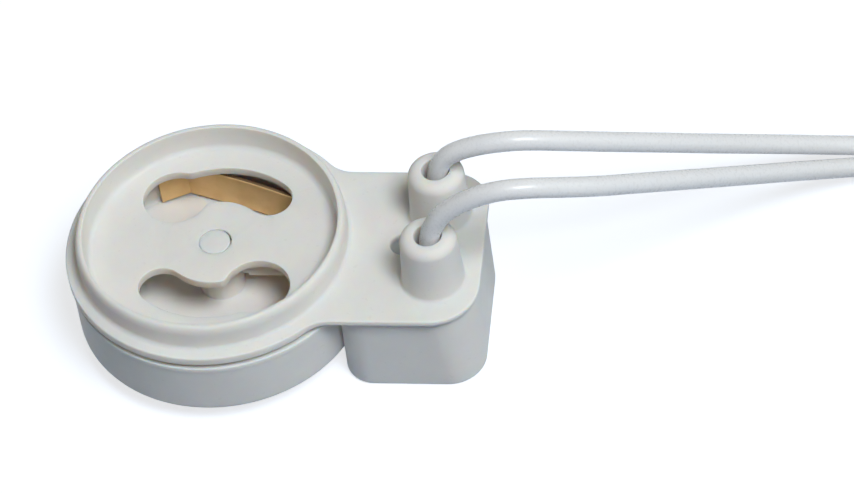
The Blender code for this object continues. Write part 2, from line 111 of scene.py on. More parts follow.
# Lead entries, fixing hole and terminals
ENTRY_X = 19.66 * MM
ENTRY_Y = 3.69 * MM
BORE_R = 1.2 * MM
HOLE_X = 16.75 * MM
HOLE_R = 1.2 * MM
TUBE_R = 2.1 * MM
TUBE_GAP = 0.03 * MM
STRIP_T = 0.35 * MM
STRIP_GAP = 0.3 * MM
STRIP_DROP = 0.2 * MM
CRIMP_R = 0.85 * MM
CRIMP_H = 3.0 * MM
CORE_R = 0.4 * MM
CORE_GAP = 0.1 * MM
TAIL_Y = ENTRY_Y - CRIMP_R + STRIP_T / 2

# Leads
LEAD_R = 0.875 * MM
LEAD_START = 10.2 * MM
LEAD_END_GAP = 0.3 * MM
LEAD_STEP = 0.6 * MM
LEAD_FLOOR = LEAD_R + 0.02 * MM
COIL_X = 67.35 * MM
COIL_EASE = 0.2 * MM
COIL_MID_R = 8.9 * MM
COIL_SIDE = 3.7 * MM
COIL_LOW = 1.37 * MM
TURN_PITCH = 1.8 * MM
TAIL = 14.0 * MM
STRIPPED = 8.0 * MM
TAIL_ANGLE = radians(20.0)
TAIL_R = COIL_MID_R + COIL_SIDE / 2 + LEAD_END_GAP + LEAD_R

# The socket axis stands at this X of the row frame
AXIS = Vector((-5.35 * MM, 0.0, 0.0))

ROUND = 192


# Camera, fitted to the photograph from the seat's ellipse and the plate's edges
def set_camera():
    azimuth = radians(11.7)
    elevation = radians(49.36)
    roll = radians(-8.38)
    back = Vector((
        sin(azimuth) * cos(elevation), -cos(azimuth) * cos(elevation), sin(elevation),
    ))
    level = Vector((cos(azimuth), sin(azimuth), 0.0))
    rise = back.cross(level)
    right = cos(roll) * level + sin(roll) * rise
    up = -sin(roll) * level + cos(roll) * rise
    data = bpy.data.cameras.new("camera")
    data.sensor_width = 36.0
    data.lens = 168.6
    data.clip_start = 0.01
    data.clip_end = 10.0
    camera = bpy.data.objects.new("camera", data)
    place = Vector((64.37 * MM, -220.42 * MM, 271.17 * MM)) + AXIS
    camera.matrix_world = Matrix([
        (right[i], up[i], back[i], place[i]) for i in range(3)
    ] + [(0.0, 0.0, 0.0, 1.0)])
    bpy.context.scene.collection.objects.link(camera)
    bpy.context.scene.camera = camera


set_camera()


# Materials
class Signal:
    """A node's output; Python's operators on it add Math nodes."""

    def __init__(self, nodes, socket):
        self.nodes = nodes
        self.socket = socket

    def _math(self, operation, first, second):
        return self.nodes.node("ShaderNodeMath", {"operation": operation}, {0: first, 1: second})

    def __add__(self, other):
        return self._math("ADD", self, other)

    def __mul__(self, other):
        return self._math("MULTIPLY", self, other)

    __radd__ = __add__
    __rmul__ = __mul__


class Nodes:
    """A node tree with one way to add a node to it."""

    def __init__(self, tree):
        self.tree = tree

    def node(self, kind, settings=None, inputs=None, output=0):
        """A new node with its settings and the values or links of its inputs; one output."""
        made = self.tree.nodes.new(kind)
        for key, value in (settings or {}).items():
            setattr(made, key, value)
        for key, value in (inputs or {}).items():
            if isinstance(value, Signal):
                self.tree.links.new(value.socket, made.inputs[key])
            else:
                made.inputs[key].default_value = value
        return Signal(self, made.outputs[output])

    def background_rays(self):
        """1 for a ray that shows the background: from the camera, reflected or through glass."""
        shown_by = self.node("ShaderNodeLightPath", output="Is Camera Ray")
        for kind in ("Is Glossy Ray", "Is Transmission Ray"):
            either = {0: shown_by, 1: self.node("ShaderNodeLightPath", output=kind)}
            shown_by = self.node("ShaderNodeMath", {"operation": "MAXIMUM"}, either)
        return shown_by


class Paint(Nodes):
    """A Principled material whose fixed values are set on the shader itself."""

    def __init__(self, name, values):
        self.material = bpy.data.materials.new(name)
        self.material.use_nodes = True
        super().__init__(self.material.node_tree)
        self.shader = self.tree.nodes["Principled BSDF"]
        for key, value in values.items():
            self.shader.inputs[key].default_value = value

    def place(self):
        """The piece's own coordinates, in metres."""
        return self.node("ShaderNodeTexCoord", output="Object")

    def noise(self, size, detail=3.0, roughness=0.55):
        """Noise from 0 to 1 whose features are about size across."""
        return self.node("ShaderNodeTexNoise", {"noise_dimensions": "3D"}, {
            "Vector": self.place(), "Scale": 1.0 / size, "Detail": detail, "Roughness": roughness,
        })

    def mix(self, factor, first, second):
        """A colour between two colours."""
        values = {0: factor, 6: first, 7: second}
        return self.node("ShaderNodeMix", {"data_type": "RGBA"}, values, output=2)

    def ramp(self, signal, low, high):
        """The part of a signal between low and high, spread over 0 to 1."""
        return self.node(
            "ShaderNodeMapRange", {"interpolation_type": "SMOOTHSTEP"},
            {"Value": signal, "From Min": low, "From Max": high},
        )

    def feed(self, name, signal):
        self.tree.links.new(signal.socket, self.shader.inputs[name])

    def bump(self, height, depth, strength=1.0):
        self.feed("Normal", self.node("ShaderNodeBump", None, {
            "Height": height, "Distance": depth, "Strength": strength,
        }))


def rgb(red, green, blue):
    return (red, green, blue, 1.0)


def moulding_paint(name, light, dark, grain):
    """White moulded plastic: faint cloudiness, fine spark-eroded grain and a few specks."""
    paint = Paint(name, {
        "IOR": 1.46, "Specular IOR Level": 0.35, "Subsurface Weight": 0.8,
        "Subsurface Radius": (1.5, 0.9, 0.5), "Subsurface Scale": 0.8 * MM,
    })
    cloud = paint.ramp(paint.noise(5.0 * MM), 0.35, 0.68)
    fine = paint.noise(grain, detail=2.0)
    speck = paint.ramp(paint.noise(0.5 * MM, detail=1.0), 0.70, 0.76)
    tone = paint.mix(cloud * 0.8 + fine * 0.2, light, dark)
    paint.feed("Base Color", paint.mix(speck * 0.10, tone, rgb(0.45, 0.42, 0.38)))
    paint.feed("Roughness", 0.50 + cloud * 0.06 + fine * 0.10)
    paint.bump(fine, 0.012 * MM, 0.5)
    return paint.material


def insulation_paint(name):
    """Smooth extruded insulation, a little uneven along its length."""
    paint = Paint(name, {
        "IOR": 1.48, "Specular IOR Level": 0.45, "Subsurface Weight": 0.4,
        "Subsurface Radius": (1.0, 0.9, 0.8), "Subsurface Scale": 0.6 * MM,
    })
    waves = paint.noise(2.2 * MM, detail=2.0)
    fine = paint.noise(0.25 * MM, detail=2.0)
    paint.feed("Base Color", paint.mix(waves, rgb(0.76, 0.755, 0.755), rgb(0.80, 0.795, 0.795)))
    paint.feed("Roughness", 0.24 + fine * 0.08)
    paint.bump(waves * 0.9 + fine * 0.1, 0.01 * MM, 0.15)
    return paint.material


def brass_paint(name):
    """Rolled brass strip: dull, with faint stains, fine rolling lines and painted shade on its
    upward-facing faces.
    """
    paint = Paint(name, {"Metallic": 0.6})
    stain = paint.ramp(paint.noise(1.6 * MM, detail=4.0), 0.30, 0.75)
    stretched = paint.node(
        "ShaderNodeMapping", None, {"Vector": paint.place(), "Scale": (0.06, 0.06, 1.0)},
    )
    lines = paint.node(
        "ShaderNodeTexNoise", None, {"Vector": stretched, "Scale": 1.0 / (0.1 * MM), "Detail": 2.0},
    )
    normal = paint.node("ShaderNodeNewGeometry", output="Normal")
    upward = paint.node("ShaderNodeSeparateXYZ", None, {0: normal}, output="Z")
    face = paint.mix(stain, rgb(0.83, 0.56, 0.26), rgb(0.75, 0.50, 0.23))
    # Painted shade: faces that point up, such as the strip's top edge, are turned dark brown as if
    # shaded by the seat above them
    painted_top_shade = paint.ramp(upward, 0.6, 0.9)
    paint.feed("Base Color", paint.mix(painted_top_shade, face, rgb(0.26, 0.17, 0.09)))
    paint.feed("Roughness", 0.42 + stain * 0.08 + lines * 0.10)
    paint.bump(lines, 0.006 * MM, 0.5)
    return paint.material


def tin_paint(name):
    """Tinned solid conductor with faint drawing marks."""
    paint = Paint(name, {"Metallic": 1.0})
    marks = paint.noise(0.3 * MM, detail=3.0)
    paint.feed("Base Color", paint.mix(marks, rgb(0.62, 0.60, 0.57), rgb(0.80, 0.78, 0.75)))
    paint.feed("Roughness", 0.28 + marks * 0.15)
    paint.bump(marks, 0.005 * MM, 0.4)
    return paint.material


def tie_paint(name):
    """Pale flat plastic band."""
    paint = Paint(name, {"IOR": 1.46})
    fine = paint.noise(0.4 * MM)
    paint.feed("Base Color", paint.mix(fine, rgb(0.72, 0.72, 0.70), rgb(0.78, 0.78, 0.76)))
    paint.feed("Roughness", 0.45 + fine * 0.1)
    paint.bump(fine, 0.01 * MM, 0.4)
    return paint.material


COVER_PAINT = moulding_paint(
    "cover_moulding", rgb(0.765, 0.745, 0.712), rgb(0.737, 0.718, 0.686), 0.16 * MM,
)
HOUSING_PAINT = moulding_paint(
    "housing_moulding", rgb(0.765, 0.745, 0.714), rgb(0.737, 0.718, 0.688), 0.16 * MM,
)
LEAD_PAINT = insulation_paint("lead_insulation")
BRASS_PAINT = brass_paint("contact_brass")
TIN_PAINT = tin_paint("tinned_conductor")
TIE_PAINT = tie_paint("tie_band")


# Mesh tools
def arc(cx, cy, radius, start, end, steps):
    """Points of an arc, both ends included."""
    points = []
    for i in range(steps + 1):
        angle = start + (end - start) * i / steps
        points.append((cx + radius * cos(angle), cy + radius * sin(angle)))
    return points


def circle(cx, cy, radius, steps=ROUND):
    return arc(cx, cy, radius, 0.0, 2 * pi, steps)[:-1]


def offset(outline, distance):
    """A closed outline moved outward, to the right of its direction of travel."""
    moved = []
    count = len(outline)
    for i in range(count):
        before = Vector(outline[i - 1])
        after = Vector(outline[(i + 1) % count])
        along = (after - before).normalized()
        here = Vector(outline[i]) + Vector((along.y, -along.x)) * distance
        moved.append((here.x, here.y))
    return moved


def resample(outline, step):
    """A closed outline with even steps."""
    closed = [Vector(p) for p in outline] + [Vector(outline[0])]
    lengths = [0.0]
    for a, b in zip(closed, closed[1:]):
        lengths.append(lengths[-1] + (b - a).length)
    count = round(lengths[-1] / step)
    points = []
    at = 0
    for i in range(count):
        target = lengths[-1] * i / count
        while lengths[at + 1] < target:
            at += 1
        span = lengths[at + 1] - lengths[at]
        points.append(closed[at].lerp(closed[at + 1], (target - lengths[at]) / span))
    return points


def soften(outline, step, passes):
    """Even steps along a closed outline, with its corners rounded by averaging."""
    points = resample(outline, step)
    for _ in range(passes):
        count = len(points)
        points = [
            points[i] / 2 + (points[i - 1] + points[(i + 1) % count]) / 4 for i in range(count)
        ]
    return [(p.x, p.y) for p in points]


class Shell:
    """A closed mesh of walls between loops of points and flat faces across loops."""

    def __init__(self):
        self.mesh = bmesh.new()

    def loop(self, outline, height):
        """A loop at one height, or with a height for each point."""
        heights = height if isinstance(height, list) else [height] * len(outline)
        return [self.mesh.verts.new((x, y, z)) for (x, y), z in zip(outline, heights)]

    def wall(self, loops):
        for low, high in zip(loops, loops[1:]):
            count = len(low)
            for i in range(count):
                j = (i + 1) % count
                self.mesh.faces.new((low[i], low[j], high[j], high[i]))

    def turned(self, profile, cx=0.0, cy=0.0, steps=ROUND):
        """Walls of a profile of (radius, height) turned about an upright axis; its end loops."""
        loops = [self.loop(circle(cx, cy, r, steps), z) for r, z in profile]
        self.wall(loops)
        return loops[0], loops[-1]

    def flat(self, *loops):
        edges = []
        for verts in loops:
            for a, b in zip(verts, verts[1:] + verts[:1]):
                edges.append(self.mesh.edges.get((a, b)) or self.mesh.edges.new((a, b)))
        bmesh.ops.triangle_fill(self.mesh, use_beauty=True, edges=edges, normal=(0.0, 0.0, 1.0))

    def finish(self, name, paint, crease=35.0):
        bmesh.ops.remove_doubles(self.mesh, verts=self.mesh.verts, dist=0.0005 * MM)
        bmesh.ops.recalc_face_normals(self.mesh, faces=self.mesh.faces)
        data = bpy.data.meshes.new(name)
        self.mesh.to_mesh(data)
        self.mesh.free()
        return shown(name, data, paint, crease)


def shown(name, data, paint, crease=35.0):
    """A smooth-shaded object from a mesh made about the socket axis."""
    obj = bpy.data.objects.new(name, data)
    bpy.context.scene.collection.objects.link(obj)
    obj.location = AXIS
    data.materials.append(paint)
    data.shade_smooth()
    data.set_sharp_from_angle(angle=radians(crease))
    weights = obj.modifiers.new("flat faces stay flat", "WEIGHTED_NORMAL")
    weights.keep_sharp = True
    return obj


def ride(obj, slot, *nodes):
    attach(obj, "root")
    if nodes:
        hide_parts(*nodes)
    return obj


def boolean(target, cutter, operation):
    """Target joined with or cut by another object, which is then removed."""
    mod = target.modifiers.new(operation.lower(), "BOOLEAN")
    mod.operation = operation
    mod.solver = "EXACT"
    mod.object = cutter
    bpy.context.view_layer.update()
    graph = bpy.context.evaluated_depsgraph_get()
    data = bpy.data.meshes.new_from_object(target.evaluated_get(graph))
    target.modifiers.remove(mod)
    target.data = data
    bpy.data.objects.remove(cutter, do_unlink=True)


def raw(name, shell):
    """A plain object of a shell's mesh, for booleans."""
    bmesh.ops.recalc_face_normals(shell.mesh, faces=shell.mesh.faces)
    data = bpy.data.meshes.new(name)
    shell.mesh.to_mesh(data)
    shell.mesh.free()
    obj = bpy.data.objects.new(name, data)
    bpy.context.scene.collection.objects.link(obj)
    obj.location = AXIS
    return obj


def solid_turned(name, profile, cx=0.0, cy=0.0, steps=ROUND):
    shell = Shell()
    top, bottom = shell.turned(profile, cx, cy, steps)
    shell.flat(top)
    shell.flat(bottom)
    return raw(name, shell)


def solid_prism(name, loops):
    """A solid from a stack of (outline, height) loops."""
    shell = Shell()
    stack = [shell.loop(outline, height) for outline, height in loops]
    shell.wall(stack)
    shell.flat(stack[0])
    shell.flat(stack[-1])
    return raw(name, shell)


def rounded_edge(outline, low, high, radius, steps=4):
    """Loops of an outline that rounds inward from low up to high."""
    loops = []
    for i in range(steps + 1):
        angle = pi / 2 * i / steps
        loops.append((offset(outline, -radius * (1 - cos(angle))), low + (high - low) * sin(angle)))
    return loops


# Cover
def plate_outline():
    """The P-shaped plate with its concave webs, counterclockwise."""
    near_y = PLATE_NEAR_HALF + WEB_R
    near_x = sqrt((FLANGE_R + WEB_R) ** 2 - near_y ** 2)
    near_lean = atan2(near_y, near_x)
    far_y = PLATE_HALF + WEB_R
    far_x = sqrt((FLANGE_R + WEB_R) ** 2 - far_y ** 2)
    far_lean = atan2(far_y, far_x)
    near_r = PLATE_NEAR_CORNER
    points = arc(near_x, -near_y, WEB_R, pi - near_lean, pi / 2, 12)
    points += arc(PLATE_END - near_r, near_r - PLATE_NEAR_HALF, near_r, -pi / 2, 0.0, 20)
    far_r = PLATE_CORNER
    points += arc(PLATE_END - far_r, PLATE_HALF - far_r, far_r, 0.0, pi / 2, 20)
    points += arc(far_x, far_y, WEB_R, -pi / 2, -pi + far_lean, 12)
    for x, y in arc(0.0, 0.0, FLANGE_R, far_lean, 2 * pi - near_lean, 140)[1:-1]:
        spoke = Vector((x, y)).normalized()
        flat = FLANGE_FLAT * max(0.0, spoke.dot(Vector((cos(FLANGE_SIDE), sin(FLANGE_SIDE)))))
        points.append((x - flat * spoke.x, y - flat * spoke.y))
    return points


def slot_outline(turned):
    """Keyhole slot: round entry, neck and parking end. The turned one is the near slot."""
    entry_r = 2.92 * MM
    entry_angle = radians(129.8)
    park_angle = radians(50.0)
    reach = radians(68.0)
    park_half = 1.97 * MM
    neck_half = 1.92 * MM
    centre = Vector((SLOT_R * cos(entry_angle), SLOT_R * sin(entry_angle)))
    steps = 60
    outer = []
    inner = []
    for i in range(steps + 1):
        share = i / steps
        angle = park_angle + reach * share
        half = park_half + (neck_half - park_half) * share
        spoke = Vector((cos(angle), sin(angle)))
        if (spoke * (SLOT_R + half) - centre).length > entry_r:
            outer.append(spoke * (SLOT_R + half))
        if (spoke * (SLOT_R - half) - centre).length > entry_r:
            inner.append(spoke * (SLOT_R - half))
    start = outer[-1] - centre
    stop = inner[-1] - centre
    first = atan2(start.y, start.x)
    last = atan2(stop.y, stop.x)
    if last < first:
        last += 2 * pi
    cap_x = SLOT_R * cos(park_angle)
    cap_y = SLOT_R * sin(park_angle)
    points = [tuple(p) for p in outer]
    points += arc(centre.x, centre.y, entry_r, first, last, 40)
    points += [tuple(p) for p in reversed(inner)]
    points += arc(cap_x, cap_y, park_half, park_angle - pi, park_angle, 24)[1:-1]
    smooth = soften(points, 0.12 * MM, 10)
    if turned:
        smooth = [(-x, -y) for x, y in smooth]
    return [(x + SLOT_X, y) for x, y in smooth]


def dish_profile():
    """From the seat's floor over the ring and down the flange's fillet."""
    lip = 0.1 * MM
    crest_r = 11.4 * MM
    shoulder = 0.95 * MM
    profile = arc(SEAT_R - SEAT_FILLET, SEAT_TOP + SEAT_FILLET, SEAT_FILLET, -pi / 2, 0.0, 6)
    profile += arc(RING_LIP_R, RING_TOP - lip, lip, pi, pi / 2, 4)
    for i in range(11):
        angle = pi / 2 * i / 10
        profile.append((
            crest_r + (RING_R - crest_r) * sin(angle), RING_TOP - shoulder * (1 - cos(angle)),
        ))
    foot = RING_R + FLANGE_FILLET
    profile += arc(foot, PLATE_TOP + FLANGE_FILLET, FLANGE_FILLET, pi, 3 * pi / 2, 8)
    return profile


def boot_profile():
    """From the plate up the tapered lead entry, over its round top and down its bore."""
    foot = 0.3 * MM
    base_r = 2.7 * MM
    top_r = 2.46 * MM
    top_round = 0.85 * MM
    flare = 0.12 * MM
    profile = arc(base_r + foot, PLATE_TOP + foot, foot, 3 * pi / 2, pi, 5)
    profile += arc(top_r - top_round, BOOT_TOP - top_round, top_round, 0.0, pi / 2, 10)
    profile += arc(BORE_R + flare, BOOT_TOP - flare, flare, pi / 2, pi, 6)[1:]
    profile.append((BORE_R, PLATE_BOTTOM))
    return profile


def hole_loops(shell, outline, top, bottom, round_top, round_bottom, steps=4):
    """Walls of a hole with rounded edges, for an outline that runs counterclockwise."""
    loops = []
    for i in range(steps + 1):
        angle = pi / 2 * i / steps
        out = round_top * (1 - sin(angle))
        loops.append(shell.loop(offset(outline, out), top - round_top * (1 - cos(angle))))
    for i in range(steps + 1):
        angle = pi / 2 * i / steps
        out = round_bottom * (1 - cos(angle))
        loops.append(shell.loop(offset(outline, out), bottom + round_bottom * (1 - sin(angle))))
    shell.wall(loops)
    return loops[0], loops[-1]


def rim_depth(x):
    """How far the rim's rounding reaches down: little at the flange, more along the plate."""
    return (0.10 + 0.08 * ease(x, FLANGE_R * 0.75, FLANGE_R)) * MM


def rim_bottom(x):
    """The rim's lower edge: the plate is thinner at its edge than the flange."""
    rise = PLATE_EDGE_BOTTOM - PLATE_BOTTOM
    return PLATE_BOTTOM + rise * ease(x, FLANGE_R * 0.6, FLANGE_R * 0.88)


def rib_outline():
    """The rib that hangs from the seat beside the near contact's arm, with its stepped end."""
    front = -0.52 * MM
    back = -0.22 * MM
    step = 0.22 * MM
    neck = 2.16 * MM
    start = 2.74 * MM
    inner = 2.84 * MM
    end = 8.2 * MM
    return [
        (neck, front + step), (start, front + step), (start, front), (end, front),
        (end, back), (inner, back), (inner, 0.0), (neck, 0.0),
    ]


def build_cover():
    shell = Shell()
    dish_in, dish_out = shell.turned(dish_profile())
    outline = plate_outline()
    rim = []
    for i in range(6):
        angle = pi / 2 * i / 5
        inset = RIM_INSET * (1 - sin(angle))
        drop = 1 - cos(angle)
        heights = [PLATE_TOP - rim_depth(x) * drop for x, y in outline]
        rim.append(shell.loop(offset(outline, -inset), heights))
    edge = 0.05 * MM
    for i in range(4):
        angle = pi / 2 * i / 3
        inset = edge * (1 - cos(angle))
        heights = [rim_bottom(x) + edge * (1 - sin(angle)) for x, y in outline]
        rim.append(shell.loop(offset(outline, -inset), heights))
    shell.wall(rim)
    boots = [
        shell.turned(boot_profile(), ENTRY_X, y, 96) for y in (-ENTRY_Y, ENTRY_Y)
    ]
    fixing = hole_loops(
        shell, circle(HOLE_X, 0.0, HOLE_R, 64), PLATE_TOP, PLATE_BOTTOM, 0.15 * MM, 0.05 * MM,
    )
    post_hole = circle(POST_HOLE_X, 0.0, POST_HOLE_R, 64)
    sharp = 0.05 * MM
    post = hole_loops(shell, post_hole, SEAT_TOP, SEAT_BOTTOM, sharp, sharp)
    slot_edge = 0.06 * MM
    slots = [
        hole_loops(shell, slot_outline(turned), SEAT_TOP, SEAT_BOTTOM, slot_edge, slot_edge)
        for turned in (False, True)
    ]
    skirt = shell.turned([
        (SKIRT_R, PLATE_BOTTOM), (SKIRT_R, SKIRT_BOTTOM), (SKIRT_INNER_R, SKIRT_BOTTOM),
        (SKIRT_INNER_R, SEAT_BOTTOM),
    ])
    shell.flat(dish_in, post[0], slots[0][0], slots[1][0])
    shell.flat(dish_out, rim[0], fixing[0], boots[0][0], boots[1][0])
    shell.flat(rim[-1], skirt[0], fixing[1], boots[0][1], boots[1][1])
    shell.flat(skirt[1], post[1], slots[0][1], slots[1][1])
    hanging = [shell.loop(rib_outline(), z) for z in (RIB_BOTTOM, SEAT_BOTTOM + RIB_SINK)]
    shell.wall(hanging)
    shell.flat(hanging[0])
    shell.flat(hanging[1])
    cover = shell.finish("cover_moulding", COVER_PAINT)
    return ride(cover, "cover_white_moulding", "cover")


# Housing
def rounded_rectangle(x0, x1, half, radius, near=None, far=None, steps=12):
    """A rectangle about the X axis; near and far are other radii for the corners at x1."""
    near = near or radius
    far = far or radius
    points = arc(x1 - near, near - half, near, -pi / 2, 0.0, steps)
    points += arc(x1 - far, half - far, far, 0.0, pi / 2, steps)
    points += arc(x0 + radius, half - radius, radius, pi / 2, pi, steps)
    points += arc(x0 + radius, radius - half, radius, pi, 3 * pi / 2, steps)
    return points


def cup_profile():
    """From the cup's rounded lip down over a small step to its rounded bottom edge."""
    lip_round = 0.12 * MM
    lip_h = 0.5 * MM
    step_h = 0.05 * MM
    lip_r = CUP_R + 0.14 * MM
    step_r = CUP_R + 0.11 * MM
    under_r = CUP_R + 0.08 * MM
    bottom_r = CUP_R + 0.05 * MM
    edge = 0.6 * MM
    profile = arc(lip_r - lip_round, HOUSING_TOP - lip_round, lip_round, pi / 2, 0.0, 6)
    profile.append((lip_r, HOUSING_TOP - lip_h))
    profile.append((step_r, HOUSING_TOP - lip_h - step_h))
    profile.append((under_r, HOUSING_TOP - lip_h - 2 * step_h))
    profile += arc(bottom_r - edge, CUP_BOTTOM + edge, edge, 0.0, -pi / 2, 6)
    return profile


def build_housing():
    over = 1.0 * MM
    cup = []
    for r, z in cup_profile():
        lean = ease(z, CUP_BOTTOM, HOUSING_TOP)
        cup.append((circle(CUP_LEAN_X * lean, CUP_LEAN_Y * lean, r), z))
    body = solid_prism("housing_moulding", cup)
    outline = rounded_rectangle(
        BOX_START, BOX_END, BOX_HALF, BOX_CORNER, BOX_NEAR_CORNER, BOX_FAR_CORNER,
    )
    upper = offset(rounded_rectangle(
        BOX_START, BOX_END, BOX_HALF, BOX_CORNER, BOX_TOP_CORNER, BOX_FAR_CORNER,
    ), -BOX_DRAFT)
    stack = rounded_edge(outline, BOX_EDGE, 0.0, BOX_EDGE)[::-1]
    stack += rounded_edge(upper, BOX_TOP - BOX_TOP_EDGE, BOX_TOP, BOX_TOP_EDGE)
    boolean(body, solid_prism("terminal_box", stack), "UNION")
    corner = 0.35 * MM
    room = arc(CUP_INNER_R - corner, CUP_FLOOR + corner, corner, -pi / 2, 0.0, 5)
    room.append((CUP_INNER_R, HOUSING_TOP + over))
    boolean(body, solid_turned("cup_room", room), "DIFFERENCE")
    inner = rounded_rectangle(
        BOX_START + WALL, BOX_END - WALL, BOX_HALF - WALL, BOX_CORNER - WALL, BOX_TOP_CORNER - WALL,
        BOX_FAR_CORNER - WALL,
    )
    top = HOUSING_TOP + over
    boolean(body, solid_prism("box_room", [(inner, BOX_FLOOR), (inner, top)]), "DIFFERENCE")
    half = STRIP_T / 2 + STRIP_GAP
    sill = STRIP_BOTTOM - STRIP_DROP
    x0 = CUP_INNER_R - over
    x1 = BOX_START + WALL + over
    for y in (-TAIL_Y, TAIL_Y):
        gap = [(x0, y - half), (x1, y - half), (x1, y + half), (x0, y + half)]
        boolean(body, solid_prism("strip_gap", [(gap, sill), (gap, top)]), "DIFFERENCE")
    foot = 0.1 * MM
    rim = 0.06 * MM
    shoulder = SEAT_BOTTOM - POST_GAP
    post = [(POST_BASE_R + foot, CUP_FLOOR - foot)]
    post += arc(POST_BASE_R + foot, CUP_FLOOR + foot, foot, 3 * pi / 2, pi, 4)
    post += [(POST_BASE_R, shoulder), (POST_R, shoulder)]
    post += arc(POST_R - rim, SEAT_TOP - rim, rim, 0.0, pi / 2, 4)
    boolean(body, solid_turned("post", post, POST_X, POST_Y, 64), "UNION")
    tube = [(TUBE_R, BOX_FLOOR - foot), (TUBE_R, PLATE_BOTTOM - TUBE_GAP)]
    boolean(body, solid_turned("screw_tube", tube, HOLE_X, 0.0, 64), "UNION")
    bore_r = HOLE_R + 0.08 * MM
    bore = [(bore_r, -over), (bore_r, top)]
    boolean(body, solid_turned("screw_bore", bore, HOLE_X, 0.0, 64), "DIFFERENCE")
    data = body.data
    bpy.data.objects.remove(body, do_unlink=True)
    housing = shown("housing_moulding", data, HOUSING_PAINT, 30.0)
    return ride(housing, "housing_white_moulding", "housing")


# Contacts
def catmull(points, step):
    """Points about a step apart on a smooth curve through the given ones."""
    anchors = [Vector(p) for p in points]
    ends = [anchors[0] * 2 - anchors[1]] + anchors + [anchors[-1] * 2 - anchors[-2]]
    result = []
    for a, b, c, d in zip(ends, ends[1:], ends[2:], ends[3:]):
        count = max(1, round((c - b).length / step))
        for i in range(count):
            t = i / count
            near = b * 2 + (c - a) * t
            far = (a * 2 - b * 5 + c * 4 - d) * t ** 2 + (b * 3 - a - c * 3 + d) * t ** 3
            result.append((near + far) / 2)
    return result + [anchors[-1]]


# Far strip in mm about the socket axis: a flat end, a bend, then a nearly straight run
STRIP_LINE = [
    (-6.50, 9.08), (-4.05, 10.26), (-3.08, 9.96), (-0.80, 9.20), (2.12, 8.20), (4.95, 7.06),
    (7.60, 5.85), (9.55, 4.30),
]
STRIP_BEND = 0.5 * MM
STRIP_STEP = 0.25 * MM


def strip_path():
    path = [Vector(p) * MM for p in STRIP_LINE]
    path.append(Vector((CUP_INNER_R - 2.5 * STRIP_BEND, TAIL_Y + STRIP_BEND / 2)))
    path.append(Vector((CUP_INNER_R - 1.5 * STRIP_BEND, TAIL_Y)))
    path.append(Vector((ENTRY_X, TAIL_Y)))
    flat_end = [path[0].lerp(path[1], i / 6) for i in range(6)]
    return flat_end + catmull(path[1:], STRIP_STEP)


def ribbon(shell, path, bottom, top):
    """An upright strip of even thickness along a plan path, with softened edges."""
    soft = 0.06 * MM
    half = STRIP_T / 2
    section = [
        (half, bottom + soft), (half, top - soft), (half - soft, top), (soft - half, top),
        (-half, top - soft), (-half, bottom + soft), (soft - half, bottom), (half - soft, bottom),
    ]
    rings = []
    count = len(path)
    for i, here in enumerate(path):
        along = (path[min(i + 1, count - 1)] - path[max(i - 1, 0)]).normalized()
        across = Vector((along.y, -along.x))
        rings.append([
            shell.mesh.verts.new((here.x + across.x * s, here.y + across.y * s, z))
            for s, z in section
        ])
    shell.wall(rings)
    for ring in (rings[0], rings[-1]):
        shell.mesh.faces.new(ring)


def build_contact(name, side):
    """A strip with its crimp barrel; the near one also has an arm beside the post."""
    shell = Shell()
    ribbon(shell, [Vector((p.x, side * p.y)) for p in strip_path()], STRIP_BOTTOM, STRIP_TOP)
    if side < 0:
        start = Vector((3.0 * MM, ARM_Y))
        knee = Vector((8.6 * MM, ARM_Y))
        arm = [start.lerp(knee, i / 12) for i in range(12)]
        arm += catmull([knee, (9.9 * MM, -1.35 * MM), (11.25 * MM, -TAIL_Y)], STRIP_STEP)
        ribbon(shell, arm, ARM_BOTTOM, STRIP_TOP)
    low = CRIMP_MIDDLE - CRIMP_H / 2
    high = CRIMP_MIDDLE + CRIMP_H / 2
    bore = CORE_R + CORE_GAP
    shell.turned(
        [(bore, low), (CRIMP_R, low), (CRIMP_R, high), (bore, high), (bore, low)],
        ENTRY_X, side * ENTRY_Y, 40,
    )
    contact = shell.finish(f"contact_{name}_strip", BRASS_PAINT, 30.0)
    return ride(contact, f"{name}_contact_brass", f"contact_{name}")


# Lead routes in mm, X and Y from the lead entry's axis. An arch rises out of the boot, its
# heights from the plate's top. A fall follows it, its heights from the surface.
FAR_ARCH = [
    (0.00, 0.00, 0.90), (0.01, 0.00, 2.90), (0.09, 0.00, 4.70), (0.44, 0.00, 6.15),
    (1.19, 0.00, 7.30), (2.24, 0.00, 8.05), (3.54, 0.00, 8.60), (5.34, 0.01, 9.05),
    (7.84, 0.31, 9.05),
]
FAR_FALL = [
    (11.34, 1.24, 17.27), (14.34, 2.42, 15.87), (17.34, 3.97, 14.08), (20.34, 5.75, 12.03),
    (23.34, 7.65, 9.83), (26.34, 9.58, 7.63), (29.34, 11.40, 5.55), (32.34, 13.00, 3.70),
    (35.34, 14.27, 2.23), (38.34, 15.16, 1.25), (41.34, 15.70, 0.95),
]
NEAR_ARCH = [
    (0.00, 0.00, 0.90), (0.01, 0.00, 2.90), (0.08, 0.00, 4.70), (0.46, 0.00, 6.40),
    (1.29, 0.00, 7.95), (2.44, 0.00, 9.15), (4.34, 0.00, 10.45), (6.54, 0.07, 11.25),
    (8.94, 0.49, 11.15),
]
NEAR_FALL = [
    (11.34, 1.33, 19.61), (14.34, 2.80, 18.12), (17.34, 4.86, 16.14), (20.34, 7.24, 13.81),
    (23.34, 9.78, 11.30), (26.34, 12.34, 8.76), (29.34, 14.81, 6.34), (32.34, 17.02, 4.19),
    (35.34, 18.85, 2.46), (38.34, 20.16, 1.32), (41.34, 20.80, 0.97),
]


def ease(value, start, end):
    """From 0 before start to 1 after end, smoothly."""
    share = min(1.0, max(0.0, (value - start) / (end - start)))
    return share * share * (3 - 2 * share)


